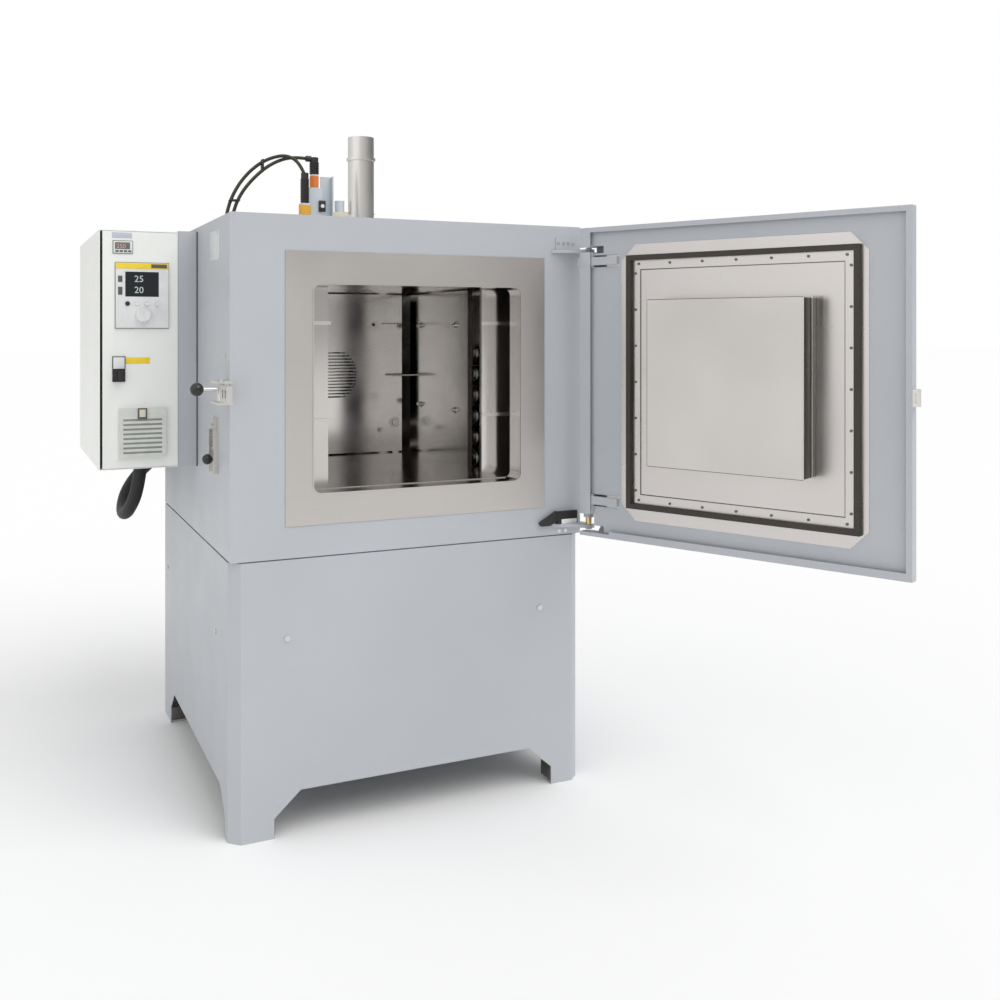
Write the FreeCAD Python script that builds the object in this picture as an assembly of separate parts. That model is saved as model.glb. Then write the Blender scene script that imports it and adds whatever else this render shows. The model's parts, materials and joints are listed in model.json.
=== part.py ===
import FreeCAD, Part
import math
import os

from FreeCAD import Vector

# Sizes in millimetres. X runs across the front, Y runs back from the casing's front, Z is up from the floor.
casing_width = 900.0
casing_depth = 981.0
base_height = 635.0
casing_height = 792.0
seam_gap = 3.0
seam_inset = 8.0
sheet = 2.0
corner_chamfer = 25.0
casing_edge_radius = 3.0
gap = 0.3
fit = 0.05

front_foot_left = 101.0
front_foot_right = 85.0
side_foot_front = 52.0
side_foot_rear = 116.0
arch_shoulder = 46.0
arch_rise = 102.0
arch_slope = 62.0
foot_pad_thickness = 6.0
foot_pad_inset = 3.0

# Chamber: the mouth in the front, the lined box behind it and the air baffles inside.
mouth_left = -257.0
mouth_right = 277.0
mouth_bottom = 784.0
mouth_top = 1269.5
mouth_radius = 18.0
mouth_rim = 3.0
neck_depth = 58.0
chamber_side_room = 54.0
chamber_floor_step = 2.0
chamber_head_room = 6.5
chamber_depth = 772.0
baffle_left = -230.0
baffle_right = 250.0
baffle_front = 272.0
baffle_rear = 720.0
baffle_floor_gap = 4.0
baffle_fold = 14.0
baffle_corner_gap = 28.0
guide_front = 102.0
guide_left = -193.0
guide_right = 216.0
guide_fold = 12.0
port_x = 151.0
port_z = 857.0
port_radius = 8.0
insulation_depth = 905.0

face_frame_left = 67.0
face_frame_right = 68.0
face_frame_bottom = 73.0
face_frame_top = 77.5
face_frame_thickness = 2.0
front_hole_margin = 12.0

# Air circulation behind the rear baffle.
fan_x = 0.0
fan_z = 1028.0
grille_radius = 79.5
louvre_pitch = 9.5
louvre_slot = 4.6
louvre_rows = 15
fan_radius = 100.0
fan_width = 44.0
fan_blades = 12
shaft_radius = 8.0
shaft_clearance = 3.0
motor_radius = 68.0
motor_length = 56.0
motor_plate = 6.0
motor_plate_size = 220.0
motor_stand_off = 6.0

heater_rows = 6
heater_pitch = 58.6
heater_lowest = 792.0
heater_radius = 4.25
heater_bend = 14.0
heater_x = 290.0
heater_column = 18.0
heater_front = 312.0
heater_step = 60.0
heater_rear = 640.0
heater_bar = 14.0

shelf_low = 940.0
shelf_high = 1176.0
shelf_pin_radius = 4.5
shelf_pin_reach = 12.0
stay_height = 9.0
stay_thickness = 4.5
stay_lap = 6.0

probe_radius = 3.0
probe_tip = 178.0
probe_z = 1025.0
probe_y = 690.0

# Exhaust through the roof.
exhaust_x = 30.0
exhaust_y = 535.0
exhaust_radius = 37.0
exhaust_wall = 2.0
exhaust_top = 1715.0
exhaust_bead = 1652.0
exhaust_flange_radius = 56.0
flap_z = 1500.0
flap_gap = 0.8
flap_spindle = 3.0

# Chamber door, drawn closed and then turned open about its hinge.
hinge_x = 450.5
hinge_y = -45.0
door_open_angle = 115.26
door_edge_x = 439.0
door_hinge_rim = 11.0
door_width = 821.4
door_bottom = 646.0
door_top = 1420.3
door_lip_y = -4.0
door_edge_depth = 24.0
door_bevel = 30.0
lip_hinge = 21.0
lip_free = 13.0
lip_top = 12.0
lip_bottom = 17.0
panel_recess = 12.0
panel_bottom_gap = 8.0
seal_plate = 1.5
seal_hinge_side = 108.0
seal_free_side = 728.0
seal_bottom = 697.0
seal_top = 1373.0
seal_corner = 40.0
gasket_width = 12.5
gasket_hinge_side = 128.5
gasket_free_side = 711.5
gasket_bottom = 727.5
gasket_top = 1346.0
clamp_width = 22.0
clamp_thickness = 1.5
clamp_screw_inset = 9.0
clamp_screw_radius = 3.2
clamp_screw_count = 7
plug_hinge_side = 224.5
plug_free_side = 611.0
plug_bottom = 844.0
plug_top = 1234.0
plug_height = 68.5
plug_sheet = 1.5
plug_flange = 4.0
plug_flange_height = 30.0

pin_radius = 5.0
knuckle_radius = 13.0
washer_radius = 8.0
arm_thickness = 8.0
arm_reach = 98.0
arm_upper_z = 1326.0
arm_lower_z = 726.0
arm_height = 20.0
upper_plate_z = 1361.0
lower_plate_z = 659.0
hinge_plate = 8.0
upper_knuckle_top = 1348.0
lower_knuckle_bottom = 686.0
hinge_flange_height = 32.0
notch_depth = 25.0
slot_reach = 54.0
plate_way_reach = 77.0

# Latch on the left side wall and its keeper on the door.
latch_x = -472.0
latch_y = -24.0
latch_z = 1024.0
latch_height = 36.0
latch_ear = 6.0
latch_ear_gap = 3.0
latch_arm_width = 12.0
latch_arm_reach = 86.0
latch_pin_radius = 4.0
latch_ball_radius = 15.0
latch_rod_z = 1032.6
latch_rod_reach = 54.5
latch_rod_radius = 4.0
keeper_reach = 13.6

# Air inlet on the left side wall.
inlet_y = 160.0
inlet_width = 60.0
inlet_bottom = 825.0
inlet_top = 957.0
inlet_depth = 12.0
inlet_pivot_z = 940.0
inlet_tilt = -13.0
inlet_lever_width = 10.0
inlet_ball_radius = 12.5
inlet_ball_drop = 83.0
inlet_rod_radius = 3.5
inlet_hole_radius = 10.0
inlet_hole_drop = 50.0
inlet_hole_shift = 11.3

# Switch cabinet on a bracket box at the left side wall.
bracket_width = 48.5
bracket_front = 415.0
bracket_rear = 976.0
bracket_bottom = 811.0
bracket_top = 1418.0
cabinet_width = 191.5
cabinet_front = 415.0
cabinet_depth = 616.0
cabinet_bottom = 812.0
cabinet_top = 1415.0
cabinet_door_thickness = 18.0
cabinet_door_gap = 6.0
cabinet_edge_gap = 1.0
cabinet_hinge_inset = 4.2
cabinet_pin_radius = 2.0

controller_left = -651.6
controller_right = -523.1
controller_bottom = 1168.6
controller_top = 1333.2
controller_proud = 6.0
controller_body_depth = 60.0
screen_left = -628.7
screen_right = -547.3
screen_bottom = 1247.6
screen_top = 1310.6
button_z = 1230.0
button_radius = 5.5
button_proud = 2.6
button_gap = 0.35
button_travel = 1.5
dial_x = -586.7
dial_z = 1201.0
dial_radius = 17.0
dial_height = 15.0
limiter_left = -656.6
limiter_right = -611.0
limiter_bottom = 1357.0
limiter_top = 1387.5
limiter_proud = 3.5
switch_left = -659.0
switch_right = -628.0
switch_bottom = 1033.0
switch_top = 1097.0
switch_proud = 3.0
switch_knob_radius = 13.5
switch_knob_height = 22.0
grille_left = -644.0
grille_right = -530.0
grille_bottom = 841.5
grille_top = 965.5
grille_proud = 12.0
grille_louvres = 8

hose_radius = 18.0
hose_gland = 6.0
hose_gland_radius = 25.0
junction_width = 140.0
junction_depth = 92.0
junction_height = 110.0
roof_cable_radius = 4.5
roof_gland_radius = 16.0
roof_gland_height = 14.0
low_coil_x = -180.0
screw_radius = 7.0
screw_height = 3.0

half_width = casing_width / 2
casing_bottom = base_height + seam_gap
casing_top = casing_bottom + casing_height
liner_left = mouth_left - chamber_side_room
liner_right = mouth_right + chamber_side_room
liner_floor = mouth_bottom + chamber_floor_step
liner_roof = mouth_top + chamber_head_room
liner_rear = neck_depth + chamber_depth


def block(x0, x1, y0, y1, z0, z1):
    return Part.makeBox(x1 - x0, y1 - y0, z1 - z0, Vector(x0, y0, z0))


def rod(radius, length, start, direction):
    return Part.makeCylinder(radius, length, Vector(*start), Vector(*direction))


def ball(radius, centre):
    return Part.makeSphere(radius, Vector(*centre))


def tube(outer, inner, length, start, direction):
    return rod(outer, length, start, direction).cut(rod(inner, length, start, direction))


def polygon_face(points):
    corners = [Vector(*point) for point in points]
    return Part.Face(Part.makePolygon(corners + [corners[0]]))


def plan_plate(points, z0, z1):
    return polygon_face([(x, y, z0) for x, y in points]).extrude(Vector(0, 0, z1 - z0))


def front_plate(points, y0, y1):
    return polygon_face([(x, y0, z) for x, z in points]).extrude(Vector(0, y1 - y0, 0))


def side_plate(points, x0, x1):
    return polygon_face([(x0, y, z) for y, z in points]).extrude(Vector(x1 - x0, 0, 0))


def round_edges(shape, radius, axis):
    edges = []
    for edge in shape.Edges:
        along = edge.tangentAt(edge.FirstParameter)
        if abs(abs(along.dot(Vector(*axis))) - 1) < 1e-6:
            edges.append(edge)
    return shape.makeFillet(radius, edges)


def rounded_block(x0, x1, y0, y1, z0, z1, radius, axis):
    return round_edges(block(x0, x1, y0, y1, z0, z1), radius, axis)


def merge(shapes):
    whole = shapes[0]
    for shape in shapes[1:]:
        whole = whole.fuse(shape)
    return whole.removeSplitter()


def cut_all(shape, tools):
    for tool in tools:
        shape = shape.cut(tool)
    return shape


def group(shapes):
    return Part.makeCompound(shapes)


def arch(low, high, slope):
    return [
        (low, -1),
        (low, arch_shoulder),
        (low + slope, arch_rise),
        (high - slope, arch_rise),
        (high, arch_shoulder),
        (high, -1),
    ]


def base_outline(inset):
    flat = half_width - corner_chamfer
    if inset == 0:
        return [(-half_width, corner_chamfer), (-flat, 0), (flat, 0), (half_width, corner_chamfer)]
    diagonal = inset * math.sqrt(2)
    foot = half_width - diagonal
    turn = flat - inset * (math.sqrt(2) - 1)
    return [(-foot, corner_chamfer), (-turn, inset), (turn, inset), (foot, corner_chamfer)]


def base_front_panel():
    skin = plan_plate(base_outline(0), 0, base_height).cut(plan_plate(base_outline(sheet), 0, base_height))
    opening = front_plate(arch(-half_width + front_foot_left, half_width - front_foot_right, arch_slope), -1, corner_chamfer)
    return skin.cut(opening)


def base_side_panel(side):
    outer = side * half_width
    inner = side * (half_width - sheet)
    skin = block(min(outer, inner), max(outer, inner), corner_chamfer, casing_depth - sheet, 0, base_height)
    opening = side_plate(arch(side_foot_front, casing_depth - side_foot_rear, arch_slope), min(outer, inner) - 1, max(outer, inner) + 1)
    return skin.cut(opening)


def base_rear_panel():
    skin = block(-half_width, half_width, casing_depth - sheet, casing_depth, 0, base_height)
    opening = front_plate(arch(-half_width + front_foot_left, half_width - front_foot_right, arch_slope), casing_depth - sheet - 1, casing_depth + 1)
    return skin.cut(opening)


def base_frame():
    inner = half_width - sheet
    outline = base_outline(sheet) + [(inner, corner_chamfer), (inner, casing_depth - sheet)]
    outline += [(-inner, casing_depth - sheet), (-inner, corner_chamfer)]
    deck = plan_plate(outline, base_height - sheet - 1, base_height)
    rim = half_width - seam_inset
    packer = block(-rim, rim, seam_inset, casing_depth - seam_inset, base_height, casing_bottom)
    ribs = [block(x - 20, x + 20, sheet, casing_depth - sheet, base_height - 30, base_height - sheet - 1) for x in (-300, 0, 300)]
    return group([merge([deck, packer] + ribs)] + base_feet())


def base_feet():
    pads = []
    for side, width in ((-1, front_foot_left), (1, front_foot_right)):
        inner = half_width - sheet
        reach = half_width - width + foot_pad_inset
        low, high = sorted((side * inner, side * reach))
        pads.append(block(low, high, corner_chamfer + sheet, side_foot_front - foot_pad_inset, 0, foot_pad_thickness))
        rear = casing_depth - side_foot_rear + foot_pad_inset
        pads.append(block(low, high, rear, casing_depth - sheet, 0, foot_pad_thickness))
    return pads


def mouth(margin, y0, y1):
    radius = mouth_radius + margin
    return rounded_block(mouth_left - margin, mouth_right + margin, y0, y1, mouth_bottom - margin, mouth_top + margin, radius, (0, 1, 0))


def casing_shell():
    outer = rounded_block(-half_width, half_width, sheet, casing_depth - sheet, casing_bottom, casing_top, casing_edge_radius, (0, 1, 0))
    inner = block(-half_width + sheet, half_width - sheet, 0, casing_depth, casing_bottom + sheet, casing_top - sheet)
    pipe = rod(exhaust_radius, 10, (exhaust_x, exhaust_y, casing_top - 5), (0, 0, 1))
    air = rod(inlet_hole_radius, 10, (-half_width - 5, inlet_y + inlet_hole_shift, inlet_pivot_z - inlet_hole_drop), (1, 0, 0))
    return cut_all(outer, [inner, pipe, air])


def casing_front_frame():
    front = rounded_block(-half_width, half_width, 0, sheet, casing_bottom, casing_top, casing_edge_radius, (0, 1, 0))
    return front.cut(mouth(front_hole_margin, -1, sheet + 1))


def casing_rear_cover():
    cover = block(-half_width, half_width, casing_depth - sheet, casing_depth, casing_bottom, casing_top)
    slots = []
    for row in range(8):
        z = casing_bottom + 60 + row * 22
        slots.append(block(-160, 160, casing_depth - sheet - 1, casing_depth + 1, z, z + 8))
    return group([cut_all(cover, slots), junction_box()])


def face_frame():
    left = mouth_left - face_frame_left
    right = mouth_right + face_frame_right
    plate = block(left, right, -face_frame_thickness, 0, mouth_bottom - face_frame_bottom, mouth_top + face_frame_top)
    rim = mouth(mouth_rim, -face_frame_thickness - 2, -face_frame_thickness)
    return merge([plate, rim]).cut(mouth(0, -face_frame_thickness - 3, 1))


def chamber_liner():
    outer = block(liner_left - sheet, liner_right + sheet, neck_depth, liner_rear + sheet, liner_floor - sheet, liner_roof + sheet)
    neck = mouth(sheet, 0, neck_depth + sheet)
    inner = block(liner_left, liner_right, neck_depth + sheet, liner_rear, liner_floor, liner_roof)
    shaft = rod(shaft_radius + shaft_clearance, 20, (fan_x, liner_rear - 10, fan_z), (0, 1, 0))
    pipe = rod(exhaust_radius - exhaust_wall, 20, (exhaust_x, exhaust_y, liner_roof - 10), (0, 0, 1))
    air = rod(inlet_hole_radius, 20, (liner_left - 10, inlet_y + inlet_hole_shift, inlet_pivot_z - inlet_hole_drop), (1, 0, 0))
    probe = rod(probe_radius, 20, (liner_right - 10, probe_y, probe_z), (1, 0, 0))
    whole = merge([outer, neck]).cut(inner)
    return cut_all(whole, [mouth(0, -1, neck_depth + sheet + 1), shaft, pipe, air, probe])


def chamber_insulation():
    inner = half_width - sheet
    fill = block(-inner, inner, sheet, insulation_depth, casing_bottom + sheet, casing_top - sheet)
    box = block(liner_left - sheet, liner_right + sheet, neck_depth, liner_rear + sheet, liner_floor - sheet, liner_roof + sheet)
    shaft = rod(shaft_radius + shaft_clearance, insulation_depth - liner_rear, (fan_x, liner_rear, fan_z), (0, 1, 0))
    pipe = rod(exhaust_radius, casing_top - liner_roof, (exhaust_x, exhaust_y, liner_roof), (0, 0, 1))
    air = rod(inlet_hole_radius, half_width, (-half_width, inlet_y + inlet_hole_shift, inlet_pivot_z - inlet_hole_drop), (1, 0, 0))
    probe = rod(probe_radius, half_width - liner_right, (liner_right, probe_y, probe_z), (1, 0, 0))
    return cut_all(fill, [box, mouth(sheet, 0, neck_depth + sheet), shaft, pipe, air, probe])


def left_air_baffle():
    top = liner_roof - baffle_floor_gap
    wall = block(baffle_left - sheet, baffle_left, baffle_front, baffle_rear + sheet, liner_floor, top)
    fold = block(baffle_left - baffle_fold, baffle_left - sheet, baffle_front, baffle_front + sheet, liner_floor, top)
    return merge([wall, fold])


def right_air_baffle():
    top = liner_roof - baffle_floor_gap
    wall = block(baffle_right, baffle_right + sheet, baffle_front, baffle_rear + sheet, liner_floor, top)
    fold = block(baffle_right + sheet, baffle_right + baffle_fold, baffle_front, baffle_front + sheet, liner_floor, top)
    probe = rod(probe_radius + gap, 3 * sheet, (baffle_right - sheet, probe_y, probe_z), (1, 0, 0))
    return merge([wall, fold]).cut(probe)


def front_air_guides():
    top = liner_roof - baffle_floor_gap
    left = block(liner_left, guide_left, guide_front, guide_front + sheet, liner_floor, top)
    left_fold = block(guide_left - sheet, guide_left, guide_front + sheet, guide_front + guide_fold, liner_floor, top)
    right = block(guide_right, liner_right, guide_front, guide_front + sheet, liner_floor, top)
    right_fold = block(guide_right, guide_right + sheet, guide_front + sheet, guide_front + guide_fold, liner_floor, top)
    return [merge([left, left_fold]), merge([right, right_fold])]


def side_air_baffles():
    return group([left_air_baffle(), right_air_baffle()] + front_air_guides())


def rear_air_baffle():
    top = liner_roof - baffle_floor_gap
    left = baffle_left + baffle_corner_gap
    right = baffle_right - baffle_corner_gap
    wall = block(left, right, baffle_rear, baffle_rear + sheet, liner_floor + baffle_floor_gap, top)
    feet = []
    for x in (left + 10, right - 30):
        foot = block(x, x + 20, baffle_rear + sheet, liner_rear, liner_floor, liner_floor + sheet)
        heel = block(x, x + 20, baffle_rear + sheet, baffle_rear + 2 * sheet, liner_floor + sheet, liner_floor + 5 * baffle_floor_gap)
        feet += [foot, heel]
    slots = [rod(port_radius, 3 * sheet, (port_x, baffle_rear - sheet, port_z), (0, 1, 0))]
    for row in range(louvre_rows):
        height = (row - (louvre_rows - 1) / 2) * louvre_pitch
        half_chord = math.sqrt(grille_radius ** 2 - height ** 2) - 3
        z = fan_z + height - louvre_slot / 2
        slots.append(block(fan_x - half_chord, fan_x + half_chord, baffle_rear - 1, baffle_rear + sheet + 1, z, z + louvre_slot))
    return cut_all(merge([wall] + feet), slots)


def baffle_stays_and_pins():
    stays = shelf_pins()
    for z in (shelf_low, shelf_high):
        front = guide_front - stay_thickness
        left = block(liner_left, guide_left + stay_lap, front, guide_front, z, z + stay_height)
        right = block(guide_right - sheet, liner_right, front, guide_front, z, z + stay_height)
        stays += [left, right]
    return group(stays)


def shelf_pins():
    pins = []
    for z in (shelf_low, shelf_high):
        for y in (baffle_front + 86, baffle_rear - 92):
            left = rod(shelf_pin_radius, shelf_pin_reach, (baffle_left, y, z), (1, 0, 0))
            right = rod(shelf_pin_radius, shelf_pin_reach, (baffle_right, y, z), (-1, 0, 0))
            pins += [left, right]
    return pins


def heater_hairpin(x, front, z):
    low = Vector(x, heater_rear, z)
    low_front = Vector(x, front, z)
    bend = Vector(x, front - heater_bend, z + heater_bend)
    high_front = Vector(x, front, z + 2 * heater_bend)
    high = Vector(x, heater_rear, z + 2 * heater_bend)
    edges = [Part.LineSegment(low, low_front).toShape()]
    edges.append(Part.Arc(low_front, bend, high_front).toShape())
    edges.append(Part.LineSegment(high_front, high).toShape())
    ring = Part.Wire(Part.makeCircle(heater_radius, low, Vector(0, 1, 0)))
    return Part.Wire(edges).makePipeShell([ring], True, True)


def heating_elements():
    shapes = []
    for row in range(heater_rows):
        z = heater_lowest + row * heater_pitch
        shapes.append(heater_hairpin(heater_x, heater_front, z))
        shapes.append(heater_hairpin(heater_x + heater_column, heater_front + heater_step, z))
    left = heater_x - 10
    right = heater_x + heater_column + 10
    rear = heater_rear + heater_bar
    top = heater_lowest + (heater_rows - 1) * heater_pitch + 2 * heater_bend + heater_radius
    bottom = heater_lowest - heater_radius
    bar = block(left, right, heater_rear, rear, bottom, top)
    upper = block(right, liner_right, heater_rear, rear, top - 60, top - 20)
    lower = block(right, liner_right, heater_rear, rear, bottom + 30, bottom + 70)
    return merge([bar, upper, lower] + shapes)


def thermocouple():
    reach = half_width - sheet - probe_tip
    return rod(probe_radius, reach, (probe_tip, probe_y, probe_z), (1, 0, 0))


def fan_wheel():
    front = baffle_rear + sheet + 14
    back = front + fan_width
    disc = rod(fan_radius, sheet, (fan_x, back - sheet, fan_z), (0, 1, 0))
    hub = rod(shaft_radius * 2.4, fan_width - 8, (fan_x, front + 8, fan_z), (0, 1, 0))
    ring = tube(fan_radius, grille_radius - 6, sheet, (fan_x, front, fan_z), (0, 1, 0))
    blades = []
    for step in range(fan_blades):
        blade = block(fan_x + grille_radius - 14, fan_x + fan_radius - 2, front + sheet, back - sheet, fan_z, fan_z + sheet)
        blade.rotate(Vector(fan_x, 0, fan_z), Vector(0, 1, 0), step * 360 / fan_blades)
        blades.append(blade)
    wheel = merge([disc, hub, ring] + blades)
    wheel = wheel.cut(rod(shaft_radius, fan_width, (fan_x, front, fan_z), (0, 1, 0)))
    return group([wheel, fan_shaft()])


def fan_shaft():
    start = baffle_rear + sheet + 18
    end = insulation_depth + motor_plate + motor_stand_off + 40
    return rod(shaft_radius, end - start, (fan_x, start, fan_z), (0, 1, 0))


def fan_motor():
    half = motor_plate_size / 2
    front = insulation_depth
    plate = block(fan_x - half, fan_x + half, front, front + motor_plate, fan_z - half, fan_z + half)
    start = front + motor_plate + motor_stand_off
    body = rod(motor_radius, motor_length, (fan_x, start, fan_z), (0, 1, 0))
    legs = []
    for step in range(4):
        angle = math.radians(45 + 90 * step)
        x = fan_x + (motor_radius - 10) * math.cos(angle)
        z = fan_z + (motor_radius - 10) * math.sin(angle)
        legs.append(rod(6, motor_stand_off, (x, front + motor_plate, z), (0, 1, 0)))
    bore = rod(shaft_radius + fit, motor_plate + motor_stand_off + 45, (fan_x, front, fan_z), (0, 1, 0))
    return merge([plate, body] + legs).cut(bore)


def exhaust_pipe():
    bottom = liner_roof + sheet
    pipe = rod(exhaust_radius, exhaust_top - bottom, (exhaust_x, exhaust_y, bottom), (0, 0, 1))
    bead = rod(exhaust_radius + 4, 8, (exhaust_x, exhaust_y, exhaust_bead - 4), (0, 0, 1))
    inner = rod(exhaust_radius - exhaust_wall, exhaust_top - bottom, (exhaust_x, exhaust_y, bottom), (0, 0, 1))
    hole = rod(flap_spindle + fit, 2 * exhaust_radius + 20, (exhaust_x - exhaust_radius - 10, exhaust_y, flap_z), (1, 0, 0))
    return group([cut_all(merge([pipe, bead]), [inner, hole]), exhaust_flange()])


def exhaust_flange():
    plate = tube(exhaust_flange_radius, exhaust_radius, 4, (exhaust_x, exhaust_y, casing_top), (0, 0, 1))
    collar = tube(exhaust_radius + 3, exhaust_radius, 16, (exhaust_x, exhaust_y, casing_top + 4), (0, 0, 1))
    bolt = rod(4, 24, (exhaust_x + exhaust_radius + 2.5, exhaust_y, casing_top + 12), (1, 0, 0))
    return merge([plate, collar, bolt])


def exhaust_flap():
    inner = exhaust_radius - exhaust_wall
    disc = rod(inner - flap_gap, 3, (exhaust_x, exhaust_y - 1.5, flap_z), (0, 1, 0))
    start = exhaust_x - exhaust_radius - 14
    spindle = rod(flap_spindle, 2 * exhaust_radius + 18, (start, exhaust_y, flap_z), (1, 0, 0))
    crank = block(start - 4, start, exhaust_y - 5, exhaust_y + 5, flap_z - 5, flap_z + 32)
    return merge([disc, spindle, crank])


def valve_unit():
    body = block(-163, -127, 384, 416, casing_top, 1545)
    return group([body, valve_bracket(), flap_cylinder()] + valve_coils())


def valve_coils():
    tall = rod(11, 37, (-145, 400, 1545), (0, 0, 1))
    low = rod(15, 34, (low_coil_x, 366, casing_top + 35), (0, 0, 1))
    stand = rod(9, 35, (low_coil_x, 366, casing_top), (0, 0, 1))
    return [tall, merge([low, stand])]


def roof_plugs():
    cap = rod(11, 46, (-145, 400, 1582), (0, 0, 1))
    nose = rod(8, 14, (-154, 400, 1624), (-1, 0, 0))
    low = rod(10, 81, (low_coil_x, 366, casing_top + 69), (0, 0, 1))
    gland = rod(roof_gland_radius, roof_gland_height, (-374, 400, casing_top), (0, 0, 1))
    return group([merge([cap, nose]), low, gland])


def valve_bracket():
    upright = block(-125, -94, 410, 413, casing_top, 1579)
    foot = block(-125, -94, 413, 440, casing_top, casing_top + 3)
    fold = block(-97, -94, 390, 410, casing_top, 1579)
    return merge([upright, foot, fold])


def flap_cylinder():
    base = block(-92, -52, 396, 430, casing_top, casing_top + 52)
    top = rod(12, 34, (-72, 413, casing_top + 52), (0, 0, 1))
    return merge([base, top])


def cord_tube(name, radius, points):
    places = [Vector(*point) for point in points]
    edges = []
    length = 0
    here = places[0]
    radii = []
    for index in range(1, len(places) - 1):
        before = places[index - 1].sub(places[index])
        after = places[index + 1].sub(places[index])
        shorter = min(before.Length, after.Length)
        turn = math.pi - before.getAngle(after)
        back = 0.45 * shorter
        radii.append(back / math.tan(turn / 2))
        start = places[index].add(Vector(before).normalize().multiply(back))
        end = places[index].add(Vector(after).normalize().multiply(back))
        inward = Vector(before).normalize().add(Vector(after).normalize()).normalize()
        centre_distance = radii[-1] / math.cos(turn / 2)
        middle = places[index].add(inward.multiply(centre_distance - radii[-1]))
        edges.append(Part.LineSegment(here, start).toShape())
        edges.append(Part.Arc(start, middle, end).toShape())
        here = end
    edges.append(Part.LineSegment(here, places[-1]).toShape())
    path = Part.Wire(edges)
    first = places[1].sub(places[0])
    ring = Part.Wire(Part.makeCircle(radius, places[0], first))
    solid = path.makePipeShell([ring], True, True)
    section = math.pi * radius ** 2
    share = solid.Volume / (section * path.Length)
    print(name, "length", round(path.Length, 1), "smallest radius", round(min(radii), 1), "volume share", round(share, 4))
    return solid


roof_left_route = [
    (-382, 400, 1444),
    (-376, 401, 1480),
    (-358, 404, 1526),
    (-330, 406, 1568),
    (-296, 404, 1601),
    (-262, 396, 1620),
    (-224, 385, 1628),
    (-192, 372, 1608),
    (-180, 366, 1574),
]
roof_right_route = [
    (-366, 400, 1444),
    (-361, 397, 1478),
    (-342, 393, 1522),
    (-311, 391, 1562),
    (-271, 393, 1598),
    (-228, 397, 1620),
    (-189, 400, 1626),
    (-166, 400, 1624),
]
hose_route = [
    (-548, 745, 806),
    (-556, 750, 715),
    (-577, 812, 640),
    (-584, 912, 622),
    (-566, 995, 675),
    (-505, 1040, 745),
    (-425, 1046, 790),
    (-350, 1040, 806),
]


def junction_box():
    left = hose_route[-1][0] + hose_gland
    z = hose_route[-1][2]
    y = hose_route[-1][1]
    box = block(left, left + junction_width, casing_depth, casing_depth + junction_depth, z - junction_height / 2, z + junction_height / 2)
    gland = rod(hose_gland_radius, hose_gland, (left - hose_gland, y, z), (1, 0, 0))
    return merge([box, gland])


def fastening_screws():
    shapes = []
    for x, z in ((-319, 455), (332, 456)):
        shapes.append(rod(screw_radius, screw_height, (x, -screw_height, z), (0, 1, 0)))
    for y, z in ((163, 446), (920, 451), (46, 1106), (138, 1398)):
        for side in (-1, 1):
            start = side * half_width
            shapes.append(rod(screw_radius - 1.5, screw_height, (start, y, z), (side, 0, 0)))
    return group(shapes + hinge_bolts())


def to_rest(shape):
    shape.rotate(Vector(hinge_x, hinge_y, 0), Vector(0, 0, 1), door_open_angle)
    return shape


def door_block(along0, along1, off0, off1, z0, z1):
    return block(door_edge_x - along1, door_edge_x - along0, door_lip_y + off0, door_lip_y + off1, z0, z1)


def door_rod(radius, length, along, off, z):
    return rod(radius, length, (door_edge_x - along, door_lip_y + off, z), (0, 1, 0))


def door_frustum(inset_back, inset_front, off_back, off_front):
    left = door_edge_x - door_width
    wedge = Part.makeWedge(
        left + inset_front,
        door_lip_y + off_front,
        door_bottom + inset_front,
        door_bottom + inset_back,
        left + inset_back,
        door_edge_x + door_hinge_rim - inset_front,
        door_lip_y + off_back,
        door_top - inset_front,
        door_top - inset_back,
        door_edge_x + door_hinge_rim - inset_back,
    )
    return wedge


def hinge_notches():
    upper = door_block(-door_hinge_rim - 1, notch_depth, -hinge_reach() - 4, 1, arm_upper_z - 6, upper_plate_z + hinge_plate + 7)
    lower = door_block(-door_hinge_rim - 1, notch_depth, -hinge_reach() - 4, 1, lower_plate_z - 4, arm_lower_z + arm_height + 6)
    return [upper, lower]


def hinge_reach():
    return door_lip_y - hinge_y


def door_skin():
    thickness = door_edge_depth + door_bevel
    rim = door_block(-door_hinge_rim, door_width, -door_edge_depth, 0, door_bottom, door_top)
    outer = merge([rim, door_frustum(0, door_bevel, -door_edge_depth, -thickness)])
    slant = sheet * (math.sqrt(2) - 1)
    inner_rim = door_block(sheet - door_hinge_rim, door_width - sheet, -door_edge_depth + slant, -sheet, door_bottom + sheet, door_top - sheet)
    inner_front = door_bevel + slant
    inner = merge([inner_rim, door_frustum(sheet, inner_front, -door_edge_depth + slant, -thickness + sheet)])
    way = door_block(lip_hinge, door_width - lip_free, -sheet - 1, 1, door_bottom + lip_bottom, door_top - lip_top)
    plate_way = door_block(lip_hinge - 1, plate_way_reach, -sheet - 1, 1, lower_plate_z - 3, door_bottom + lip_bottom + 1)
    return to_rest(cut_all(outer, [inner, way, plate_way] + hinge_notches()))


def door_inner_panel():
    back = -panel_recess - sheet
    panel = door_block(sheet - door_hinge_rim, door_width - sheet, back, -panel_recess, door_bottom + sheet + panel_bottom_gap, door_top - sheet - 1)
    slits = []
    for z in (arm_upper_z, arm_lower_z):
        slits.append(door_block(notch_depth, arm_reach + 4, back - 1, -panel_recess + 1, z - 5, z))
        slits.append(door_block(notch_depth, arm_reach + 4, back - 1, -panel_recess + 1, z + arm_height, z + arm_height + 5))
    for z in (upper_plate_z, lower_plate_z):
        slits.append(door_block(-door_hinge_rim, slot_reach, back - 1, -panel_recess + 1, z - 5, z + hinge_plate + 5))
    return to_rest(cut_all(panel, slits + hinge_notches()))


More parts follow.
